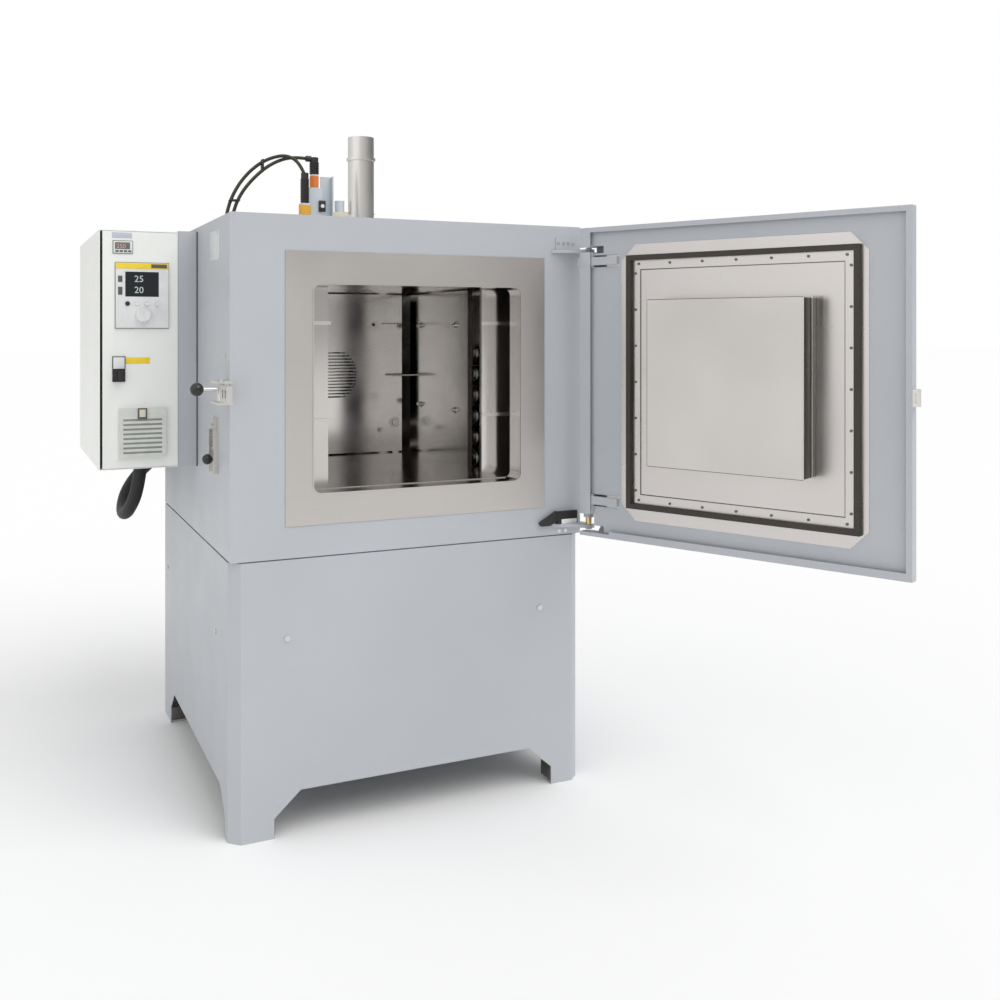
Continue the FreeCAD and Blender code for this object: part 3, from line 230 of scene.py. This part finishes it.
# Each row: maker, colour, roughness, then what that maker takes besides.
finishRows = {
    "casingPaint": (powderPaint, (0.455, 0.476, 0.505)),
    "cabinetPaint": (powderPaint, (0.83, 0.845, 0.81), 0.46),
    "faceSteel": (brushedSteel, (0.58, 0.553, 0.53), 0.34, (1, 1, 60), 0, 18, 0.00006, 0.03),
    "chamberSteel": (millSteel, (0.6, 0.578, 0.556), 0.15, 0.00015),
    "doorSteel": (brushedSteel, (0.62, 0.59, 0.57), 0.27, (1, 60, 1), -25.26, 14, 0.00001, 0.015),
    "plugSteel": (millSteel, (0.6, 0.573, 0.55), 0.2, 0.00002),
    # The next two rows are darkened copies of the plug steel: painted dark reflection for the plug's free side
    # face.
    "plugShade": (millSteel, (0.06, 0.057, 0.052), 0.3, 0.00002),
    "plugDusk": (millSteel, (0.17, 0.163, 0.15), 0.3, 0.00002),
    "brightSteel": (brushedSteel, (0.68, 0.66, 0.63), 0.28, (20, 20, 1), 0, 40, 0.00004),
    "zincSteel": (millSteel, (0.68, 0.68, 0.665), 0.36),
    "heaterSheath": (millSteel, (0.6, 0.57, 0.52), 0.3),
    "washerBrass": (millSteel, (0.72, 0.52, 0.26), 0.3),
    "gasketFibre": (mouldedPlastic, (0.05, 0.043, 0.036), 0.85),
    "fibreWool": (mouldedPlastic, (0.78, 0.76, 0.7), 0.95),
    "blackPlastic": (mouldedPlastic, (0.018, 0.018, 0.019), 0.45),
    "ballBlack": (mouldedPlastic, (0.014, 0.014, 0.015), 0.2),
    "palePlastic": (mouldedPlastic, (0.72, 0.73, 0.73), 0.4),
    "grillePlastic": (mouldedPlastic, (0.62, 0.64, 0.6), 0.5),
    "screenGlass": (mouldedPlastic, (0.01, 0.012, 0.016), 0.12),
    "cableSheath": (mouldedPlastic, (0.03, 0.028, 0.012), 0.55),
    "hoseSleeve": (mouldedPlastic, (0.011, 0.011, 0.012), 0.6),
    "valveGrey": (powderPaint, (0.6, 0.66, 0.7)),
    "yellowLabel": (mouldedPlastic, (0.85, 0.62, 0.035), 0.4),
    "blueLabel": (mouldedPlastic, (0.5, 0.55, 0.62), 0.4),
    "paleLabel": (mouldedPlastic, (0.6, 0.62, 0.62), 0.4),
    "whiteLabel": (mouldedPlastic, (0.82, 0.82, 0.8), 0.4),
    "greyMark": (mouldedPlastic, (0.09, 0.09, 0.095), 0.45),
    "displayGrey": (mouldedPlastic, (0.15, 0.145, 0.14), 0.3),
    "orangeBand": (mouldedPlastic, (0.75, 0.2, 0.03), 0.45),
    "amberBand": (mouldedPlastic, (0.8, 0.42, 0.04), 0.45),
    "valveBeige": (mouldedPlastic, (0.66, 0.6, 0.47), 0.45),
    "filterMat": (mouldedPlastic, (0.3, 0.31, 0.29), 0.9),
    "redFigure": (mouldedPlastic, (0.62, 0.36, 0.3), 0.4),
    "litFigure": (mouldedPlastic, (0.55, 0.62, 0.6), 0.4),
    "screwDark": (millSteel, (0.16, 0.15, 0.14), 0.4),
}
finishes = {name: maker(name, *values) for name, (maker, *values) in finishRows.items()}
finishOfSlot = {
    "casing_paint": "casingPaint",
    "cabinet_paint": "cabinetPaint",
    "face_steel": "faceSteel",
    "chamber_steel": "chamberSteel",
    "door_steel": "doorSteel",
    "bright_steel": "brightSteel",
    "zinc_steel": "zincSteel",
    "heater_sheath": "heaterSheath",
    "brass": "washerBrass",
    "gasket_fibre": "gasketFibre",
    "insulation": "fibreWool",
    "black_plastic": "blackPlastic",
    "ball_black": "ballBlack",
    "pale_plastic": "palePlastic",
    "grille_plastic": "grillePlastic",
    "screen_glass": "screenGlass",
    "cable_sheath": "cableSheath",
    "hose_sleeve": "hoseSleeve",
    "valve_grey": "valveGrey",
}
finishOfNode = {"door_plug_box": "plugSteel", "clamp_screws": "screwDark"}


def dressNodes():
    slotOfNode = {part["node"]: part["material_slot"] for part in frame["record"]["subparts"]}
    for name, node in frame["nodes"].items():
        finish = finishOfNode.get(name, finishOfSlot[slotOfNode[name]])
        for place in node.material_slots:
            place.material = finishes[finish]


dressNodes()
print("finishes on the nodes")

# Cables and hose: widths and route points in millimetres, lengths in metres.
cordShape = {"roundSteps": 6, "lengthSteps": 16, "order": 3}
cords = {
    "roofCableLeft": {
        "route": [
            (-382, 400, 1444),
            (-376, 401, 1480),
            (-358, 404, 1526),
            (-330, 406, 1568),
            (-296, 404, 1601),
            (-262, 396, 1620),
            (-224, 385, 1628),
            (-192, 372, 1608),
            (-180, 366, 1574),
        ],
        "width": 9.0,
        "node": "roof_cable_left",
        "slot": "cable_sheath",
        "finish": "cableSheath",
        "length": 0.331,
        "stiffness": "medium",
        "lay": "loose",
    },
    "roofCableRight": {
        "route": [
            (-366, 400, 1444),
            (-361, 397, 1478),
            (-342, 393, 1522),
            (-311, 391, 1562),
            (-271, 393, 1598),
            (-228, 397, 1620),
            (-189, 400, 1626),
            (-166, 400, 1624),
        ],
        "width": 9.0,
        "node": "roof_cable_right",
        "slot": "cable_sheath",
        "finish": "cableSheath",
        "length": 0.293,
        "stiffness": "medium",
        "lay": "loose",
    },
    "sleevedHose": {
        "route": [
            (-548, 745, 806),
            (-556, 750, 715),
            (-577, 812, 640),
            (-584, 912, 622),
            (-566, 995, 675),
            (-505, 1040, 745),
            (-425, 1046, 790),
            (-350, 1040, 806),
        ],
        "width": 36.0,
        "node": "cabinet_hose",
        "slot": "hose_sleeve",
        "finish": "hoseSleeve",
        "length": 0.635,
        "stiffness": "limp",
        "lay": "hanging",
    },
}


def layCord(name, values):
    curve = bpy.data.curves.new(name, "CURVE")
    curve.dimensions = "3D"
    curve.bevel_depth = values["width"] / 2000
    curve.bevel_resolution = cordShape["roundSteps"]
    curve.resolution_u = cordShape["lengthSteps"]
    curve.use_fill_caps = True
    line = curve.splines.new("NURBS")
    line.points.add(len(values["route"]) - 1)
    for point, place in zip(line.points, values["route"]):
        point.co = (*at(*place), 1)
    line.order_u = cordShape["order"]
    line.use_endpoint_u = True
    cord = bpy.data.objects.new(name, curve)
    bpy.context.scene.collection.objects.link(cord)
    curve.materials.append(finishes[values["finish"]])
    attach(cord, "furnace")
    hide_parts(values["node"])


for cordName, cordValues in cords.items():
    layCord(cordName, cordValues)
print("cords laid")

# Shaping: every maker ends in settle, which gives the piece its body and finish.
pieceShape = {"smoothAngle": 32, "bevelSteps": 2}


def settle(piece, body, finish):
    bpy.ops.object.mode_set(mode="OBJECT")
    bpy.ops.object.transform_apply(location=True, rotation=True, scale=True)
    bpy.ops.object.shade_smooth_by_angle(angle=math.radians(pieceShape["smoothAngle"]))
    piece.data.materials.clear()
    piece.data.materials.append(finishes[finish])
    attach(piece, body)
    bpy.ops.object.select_all(action="DESELECT")
    return piece


def bevelledBox(name, low, high, edge, body, slot, finish):
    bpy.ops.object.select_all(action="DESELECT")
    first, last = at(*low), at(*high)
    bpy.ops.mesh.primitive_cube_add(size=1, location=(first + last) / 2)
    piece = bpy.context.object
    piece.name = name
    piece.scale = last - first
    bpy.ops.object.transform_apply(location=True, rotation=True, scale=True)
    bpy.ops.object.mode_set(mode="EDIT")
    bpy.ops.mesh.select_all(action="SELECT")
    bpy.ops.mesh.bevel(offset=edge / 1000, segments=pieceShape["bevelSteps"], affect="EDGES")
    return settle(piece, body, finish)


# A round piece: a disc pushed up ring by ring, each ring (radius, height) in millimetres.
def turnedPiece(name, foot, heading, rings, body, slot, finish, sides=40):
    bpy.ops.object.select_all(action="DESELECT")
    direction = Vector(heading)
    bpy.ops.mesh.primitive_circle_add(
        vertices=sides,
        radius=rings[0][0] / 1000,
        fill_type="NGON",
        location=at(*foot),
        rotation=direction.to_track_quat("Z", "Y").to_euler(),
    )
    piece = bpy.context.object
    piece.name = name
    bpy.ops.object.transform_apply(location=True, rotation=True, scale=True)
    bpy.ops.object.mode_set(mode="EDIT")
    bpy.ops.mesh.select_all(action="SELECT")
    middle = at(*foot)
    for (radius, height), (nextRadius, nextHeight) in zip(rings, rings[1:]):
        step = direction * ((nextHeight - height) / 1000)
        bpy.ops.mesh.extrude_region_move(TRANSFORM_OT_translate={"value": step})
        middle = middle + step
        if nextRadius != radius:
            bpy.ops.transform.resize(value=(nextRadius / radius,) * 3, center_override=middle)
    bpy.ops.mesh.select_all(action="SELECT")
    bpy.ops.mesh.normals_make_consistent(inside=False)
    return settle(piece, body, finish)


def copyTo(piece, name, shift, body, slot):
    twin = piece.copy()
    twin.data = piece.data.copy()
    twin.name = name
    bpy.context.scene.collection.objects.link(twin)
    twin.data.transform(Matrix.Translation(Vector(shift) / 1000))
    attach(twin, body)


def copyRow(piece, name, count, pitch, body, slot):
    for number in range(1, count):
        copyTo(piece, name + str(number + 1), (number * pitch, 0, 0), body, slot)


# Cabinet front. A box row is: low corner, high corner, edge radius, finish.
cabinetTrims = {
    "controllerSeal": ((-653, 413.9, 1167.2), (-521.7, 415, 1334.6), 0.4, "blackPlastic"),
    "controllerBar": ((-651, 408.1, 1318), (-523.8, 409, 1332.8), 0.35, "yellowLabel"),
    "controllerBarTag": ((-566, 407.7, 1320.5), (-527.5, 408.1, 1330.3), 0.15, "greyMark"),
    "controllerPortHigh": ((-646, 408.5, 1284), (-635.5, 409, 1300), 0.2, "greyMark"),
    "controllerPortLow": ((-646, 408.5, 1252), (-635.5, 409, 1272), 0.2, "greyMark"),
    "limiterSeal": ((-658.2, 414, 1355.6), (-609.6, 415, 1389), 0.4, "blackPlastic"),
    "limiterWindow": ((-653, 410.9, 1367), (-617, 411.5, 1384), 0.25, "displayGrey"),
    "cabinetLabel": ((-660, 414.4, 1395), (-612, 415, 1409), 0.25, "blueLabel"),
    "switchHead": ((-657, 411.2, 1066), (-630, 412, 1095), 0.35, "palePlastic"),
    "switchTag": ((-627.4, 414.3, 1078), (-568.6, 415, 1094), 0.3, "yellowLabel"),
    "grilleMat": ((-638.5, 404.6, 848), (-535.5, 409, 960), 1.2, "filterMat"),
    "grilleCatchLine": ((-599.8, 399.2, 938.8), (-577.2, 400, 966.5), 0.3, "greyMark"),
    "grilleCatchFace": ((-596, 396.3, 944), (-581, 397, 963), 0.25, "valveBeige"),
}
for trimName, (trimLow, trimHigh, trimEdge, trimFinish) in cabinetTrims.items():
    bevelledBox(trimName, trimLow, trimHigh, trimEdge, "cabinet_front", "pale_plastic", trimFinish)

limiterKeys = {"first": (-652, 410.4, 1359.6), "size": (7.6, 1.1, 4.6), "edge": 0.4, "pitch": 10.2, "count": 4}


def addLimiterKeys():
    low = limiterKeys["first"]
    high = tuple(start + size for start, size in zip(low, limiterKeys["size"]))
    place = ("cabinet_front", "pale_plastic")
    firstKey = bevelledBox("limiterKey1", low, high, limiterKeys["edge"], *place, "greyMark")
    copyRow(firstKey, "limiterKey", limiterKeys["count"], limiterKeys["pitch"], *place)


addLimiterKeys()

# A figure row is: digits, lower left corner, height, finish.
figureShape = {"thickness": 0.0001, "curveSteps": 3}
displayFigures = {
    "limiterFigures": ("250", (-649.5, 410.8, 1369.6), 15, "redFigure"),
    "screenFiguresHigh": ("25", (-607, 409.4, 1285), 23, "litFigure"),
    "screenFiguresLow": ("20", (-607, 409.4, 1257), 23, "litFigure"),
}


def plainFigures(name, digits, place, height, finish):
    bpy.ops.object.select_all(action="DESELECT")
    bpy.ops.object.text_add(location=at(*place), rotation=turned((90, 0, 0)))
    figures = bpy.context.object
    figures.name = name
    figures.data.body = digits
    figures.data.size = height / 1000
    figures.data.extrude = figureShape["thickness"]
    figures.data.resolution_u = figureShape["curveSteps"]
    bpy.ops.object.convert(target="MESH")
    settle(bpy.context.object, "cabinet_front", finish)


for figureName, figureValues in displayFigures.items():
    plainFigures(figureName, *figureValues)
print("cabinet front trimmed")

# Casing and base. These box rows also name the slot.
casingTrims = {
    "sideLabel": ((-450.7, 118, 1330), (-450, 234, 1400), 0.3, "pale_plastic", "paleLabel"),
    # The four foot plates are dark sheets inside the feet: painted shade for the foot hollows seen through the
    # base cut-outs.
    "footShadePlateRight": ((363.4, 2, 9), (365, 54, 45), 0.3, "casing_paint", "screwDark"),
    "footShadePlateLeft": ((-349, 2, 9), (-347.4, 54, 45), 0.3, "casing_paint", "screwDark"),
    "footShadePlateRearLeft": ((-448, 863.4, 9), (-400, 865, 45), 0.3, "casing_paint", "screwDark"),
    "footShadePlateRearRight": ((400, 863.4, 9), (448, 865, 45), 0.3, "casing_paint", "screwDark"),
    "bracketSeal": ((-452.6, 412.4, 812), (-450, 415, 1417), 0.8, "black_plastic", "blackPlastic"),
    "switchLabel": ((388, -15.1, 667), (432, -14.5, 679), 0.2, "pale_plastic", "whiteLabel"),
}
for trimName, (trimLow, trimHigh, trimEdge, trimSlot, trimFinish) in casingTrims.items():
    bevelledBox(trimName, trimLow, trimHigh, trimEdge, "furnace", trimSlot, trimFinish)
print("casing trimmed")

# Valve on the roof. A plug row is: foot, core radius, rib radius, pitch, ribs.
ribSteps = {"start": 0.2, "top": 0.32, "topEnd": 0.78, "end": 0.9}
plugRibs = {
    "tallPlugRibs": ((-145, 400, 1583), 11.3, 12.9, 4.6, 7),
    "lowPlugRibs": ((-180, 366, 1502), 10.3, 11.8, 5.2, 12),
}


def ribRings(core, rib, pitch, count):
    rings = [(core, 0)]
    for number in range(count):
        foot = number * pitch
        rings += [
            (core, foot + pitch * ribSteps["start"]),
            (rib, foot + pitch * ribSteps["top"]),
            (rib, foot + pitch * ribSteps["topEnd"]),
            (core, foot + pitch * ribSteps["end"]),
        ]
    return rings + [(core, count * pitch)]


for plugName, (plugFoot, *plugShape) in plugRibs.items():
    plugRings = ribRings(*plugShape)
    turnedPiece(plugName, plugFoot, (0, 0, 1), plugRings, "furnace", "black_plastic", "blackPlastic")

# A band row is: foot, heading, rings, finish.
roofBands = {
    "tallCoilBand": (
        (-145, 400, 1547),
        (0, 0, 1),
        [(11.2, 0), (12.1, 0.7), (12.1, 30), (11.2, 30.8)],
        "orangeBand",
    ),
    "lowCoilBand": (
        (-180, 366, 1468),
        (0, 0, 1),
        [(15.2, 0), (15.9, 0.6), (15.9, 26), (15.2, 26.6)],
        "amberBand",
    ),
    "relayCap": (
        (-128, 378, 1496),
        (0, -1, 0),
        [(5.2, 0), (5.2, 0.6), (4.4, 1.4), (2.2, 1.5), (2.2, 2.3)],
        "whiteLabel",
    ),
}
for bandName, (bandFoot, bandHeading, bandRings, bandFinish) in roofBands.items():
    turnedPiece(bandName, bandFoot, bandHeading, bandRings, "furnace", "pale_plastic", bandFinish)

roofBlocks = {
    "relayBlock": ((-137, 378, 1481), (-119, 386, 1511), 1.2, "blackPlastic"),
    "flapDriveCover": ((-93.2, 394.8, 1458), (-50.8, 431.2, 1483.5), 1.6, "valveBeige"),
    "cableTieLow": ((-372.6, 388, 1499.6), (-345, 410, 1504.4), 1.6, "blackPlastic"),
    "cableTieHigh": ((-288, 386, 1588), (-283.4, 410, 1614), 1.6, "blackPlastic"),
}
for blockName, (blockLow, blockHigh, blockEdge, blockFinish) in roofBlocks.items():
    bevelledBox(blockName, blockLow, blockHigh, blockEdge, "furnace", "black_plastic", blockFinish)
print("roof valve trimmed")

# Chamber: a bolt, a row of small holes and a port on the rear baffle, washers on the shelf pins. The holes and
# the port are flat black discs on the baffle: painted shade for the openings.
towardsMouth = (0, -1, 0)
rearBolt = {
    "place": (197, 720, 879),
    "rings": [(16, 0), (16, 1.4), (15.3, 1.9), (9.6, 1.9), (9.6, 6.6), (8.4, 8)],
}
rearHoles = {
    "first": (160, 720, 1184),
    "pitch": 9.8,
    "count": 6,
    "rings": [(2.6, 0), (2.6, 0.2), (2.1, 0.4)],
    "sides": 20,
}
rearPort = {"place": (130, 720, 1180), "rings": [(5, 0), (5, 0.3), (3.4, 0.7)], "sides": 24}
pinWasher = {
    "first": (250, 358, 1178),
    "shifts": [(0, 270, 0), (0, 0, -240), (0, 270, -240)],
    "rings": [(9.5, 0), (9.5, 1.2), (8.8, 1.8), (6.2, 1.8), (6.2, 4.8), (5.2, 5.8)],
    "sides": 32,
}


def trimChamber():
    bright = ("furnace", "bright_steel")
    wall = ("furnace", "chamber_steel")
    turnedPiece("rearBolt", rearBolt["place"], towardsMouth, rearBolt["rings"], *bright, "brightSteel")
    # Holes and port: black discs, painted shade standing in for the dark behind the openings.
    hole = (rearHoles["first"], towardsMouth, rearHoles["rings"], *wall, "blackPlastic", rearHoles["sides"])
    copyRow(turnedPiece("rearHole1", *hole), "rearHole", rearHoles["count"], rearHoles["pitch"], *wall)
    port = (rearPort["place"], towardsMouth, rearPort["rings"], *wall, "blackPlastic", rearPort["sides"])
    turnedPiece("rearPort", *port)
    washer = (pinWasher["first"], (-1, 0, 0), pinWasher["rings"], *bright, "brightSteel", pinWasher["sides"])
    firstWasher = turnedPiece("pinWasher1", *washer)
    for number, shift in enumerate(pinWasher["shifts"]):
        copyTo(firstWasher, "pinWasher" + str(number + 2), shift, *bright)


trimChamber()
print("chamber trimmed")

# Door rows are given as on the closed door (from its hinge edge, into the chamber, up), then swung open.
doorSwing = {"hinge": (450.5, -45, 0), "open": 115.26, "edge": 439.0, "lip": -4.0}


def doorBox(name, low, high, edge, slot, finish):
    first = (doorSwing["edge"] - high[0], doorSwing["lip"] + low[1], low[2])
    last = (doorSwing["edge"] - low[0], doorSwing["lip"] + high[1], high[2])
    piece = bevelledBox(name, first, last, edge, "chamber_door", slot, finish)
    pivot = Matrix.Translation(at(*doorSwing["hinge"]))
    swing = Matrix.Rotation(math.radians(doorSwing["open"]), 4, "Z")
    piece.data.transform(pivot @ swing @ pivot.inverted())


doorTrims = {
    "stripLineHinge": ((163, -10.5, 762), (165.2, -9.9, 1311.5), 0.2, "screwDark"),
    "stripLineFree": ((674.8, -10.5, 762), (677, -9.9, 1311.5), 0.2, "screwDark"),
    "stripLineLow": ((165.2, -10.5, 762), (674.8, -9.9, 764.2), 0.2, "screwDark"),
    "stripLineHigh": ((165.2, -10.5, 1309.3), (674.8, -9.9, 1311.5), 0.2, "screwDark"),
    "plugEdgeHigh": ((224.5, 55.4, 1234), (611, 57.8, 1235.4), 0.2, "screwDark"),
    "plugEdgeLow": ((224.5, 55.4, 842.6), (611, 57.8, 844), 0.2, "screwDark"),
    "plugEdgeHinge": ((223.1, 55.4, 844), (224.5, 57.8, 1234), 0.2, "screwDark"),
    # The plug's free side face is two dark strips: painted dark reflection, not the steel's own colour.
    "plugSidePaintedReflectionFront": ((611, 21.8, 845), (611.5, 55, 1233), 0.15, "plugShade"),
    "plugSidePaintedReflectionBack": ((611, -10.2, 845), (611.5, 19.2, 1233), 0.15, "plugDusk"),
    # The free front edge and the side seam get brighter steel than the plug: a painted highlight, the seam
    # lying on a real flange ridge.
    "plugEdgeFreeHighlight": ((611, 55, 844), (612.6, 57.8, 1234), 0.3, "brightSteel"),
    "plugSeamFreeHighlight": ((615, 19.2, 841), (615.8, 21.9, 1237), 0.2, "brightSteel"),
}
for trimName, (trimLow, trimHigh, trimEdge, trimFinish) in doorTrims.items():
    doorBox(trimName, trimLow, trimHigh, trimEdge, "bright_steel", trimFinish)

# The door's rim goes on round the hinges: its lip, the pocket's far wall and its back.
rimEdge = 0.2
rimStrips = {
    "hingeRimHigh": ((-10.9, -2, 1320.1), (21, 0, 1359)),
    "hingeRimTop": ((-10.9, -2, 1371), (21, 0, 1375.9)),
    "hingeRimLow": ((-10.9, -2, 700.5), (21, 0, 751.9)),
    "hingePocketHigh": ((23.4, -24, 1320.1), (24.8, -2.2, 1359)),
    "hingePocketTop": ((23.4, -24, 1371), (24.8, -2.2, 1375.9)),
    "hingePocketLow": ((23.4, -24, 700.5), (24.8, -2.2, 751.9)),
    "hingeBackHigh": ((-3.5, -24, 1346.4), (23.2, -22.6, 1359)),
    "hingeBackUnder": ((-3.5, -24, 1320.1), (23.2, -22.6, 1325.6)),
    "hingeBackTop": ((-3.5, -24, 1371), (23.2, -22.6, 1375.9)),
    "hingeBackLow": ((-3.5, -24, 700.5), (23.2, -22.6, 725.6)),
    "hingeBackOver": ((-3.5, -24, 746.4), (23.2, -22.6, 751.9)),
}
for stripName, (stripLow, stripHigh) in rimStrips.items():
    doorBox(stripName, stripLow, stripHigh, rimEdge, "casing_paint", "casingPaint")
print("door trimmed")

# Floor and light. A sun row is: place, turn, energy, spread.
studio = {
    "floorSize": 120,
    "floorColour": (0.93, 0.93, 0.93),
    "floorRoughness": 0.9,
    "lightLevel": 0.72,
    "shownLevel": 1.0,
    "mirrorLean": (-0.38, 0.0, 0.55),
    "mirrorLevel": 0.5,
}
suns = {
    "softSun": ((-1500, -2500, 3500), (38, 0, 28), 1.25, 50),
    "sideFill": ((-2500, -1500, 2500), (62, 0, -62), 0.3, 70),
}


def layFloor():
    bpy.ops.mesh.primitive_plane_add(size=studio["floorSize"], location=(0, 0, 0))
    floor = bpy.context.object
    floor.name = "paleFloor"
    paper = newFinish("floorPaper", studio["floorColour"], studio["floorRoughness"])
    floor.data.materials.append(paper)


# The camera sees white, plain surfaces get an even light, and steel mirrors a wall that is
# lighter above and on the left.
def makeWorld():
    world = bpy.data.worlds.new("softRoom")
    bpy.context.scene.world = world
    world.use_nodes = True
    nodes = world.node_tree.nodes
    links = world.node_tree.links
    plain = nodes["Background"]
    shown = nodes.new("ShaderNodeBackground")
    mirrored = nodes.new("ShaderNodeBackground")
    for background in (plain, shown, mirrored):
        background.inputs["Color"].default_value = (1, 1, 1, 1)
    plain.inputs["Strength"].default_value = studio["lightLevel"]
    shown.inputs["Strength"].default_value = studio["shownLevel"]
    heading = nodes.new("ShaderNodeTexCoord")
    lean = nodes.new("ShaderNodeVectorMath")
    lean.operation = "DOT_PRODUCT"
    lean.inputs[1].default_value = studio["mirrorLean"]
    level = nodes.new("ShaderNodeMath")
    level.operation = "ADD"
    level.use_clamp = True
    level.inputs[1].default_value = studio["mirrorLevel"]
    links.new(heading.outputs["Generated"], lean.inputs[0])
    links.new(lean.outputs["Value"], level.inputs[0])
    links.new(level.outputs["Value"], mirrored.inputs["Strength"])
    path = nodes.new("ShaderNodeLightPath")
    glossyOrClear = nodes.new("ShaderNodeMath")
    glossyOrClear.operation = "MAXIMUM"
    links.new(path.outputs["Is Glossy Ray"], glossyOrClear.inputs[0])
    links.new(path.outputs["Is Transmission Ray"], glossyOrClear.inputs[1])
    mirrorMix = nodes.new("ShaderNodeMixShader")
    links.new(glossyOrClear.outputs["Value"], mirrorMix.inputs["Fac"])
    links.new(plain.outputs["Background"], mirrorMix.inputs[1])
    links.new(mirrored.outputs["Background"], mirrorMix.inputs[2])
    mix = nodes.new("ShaderNodeMixShader")
    links.new(path.outputs["Is Camera Ray"], mix.inputs["Fac"])
    links.new(mirrorMix.outputs["Shader"], mix.inputs[1])
    links.new(shown.outputs["Background"], mix.inputs[2])
    links.new(mix.outputs["Shader"], nodes["World Output"].inputs["Surface"])


def addSun(name, place, turn, energy, spread):
    bpy.ops.object.light_add(type="SUN", location=at(*place), rotation=turned(turn))
    sun = bpy.context.object
    sun.name = name
    sun.data.energy = energy
    sun.data.angle = math.radians(spread)
    bpy.ops.object.select_all(action="DESELECT")


layFloor()
makeWorld()
for sunName, sunValues in suns.items():
    addSun(sunName, *sunValues)
bpy.context.scene.view_settings.view_transform = "Standard"
print("studio ready")
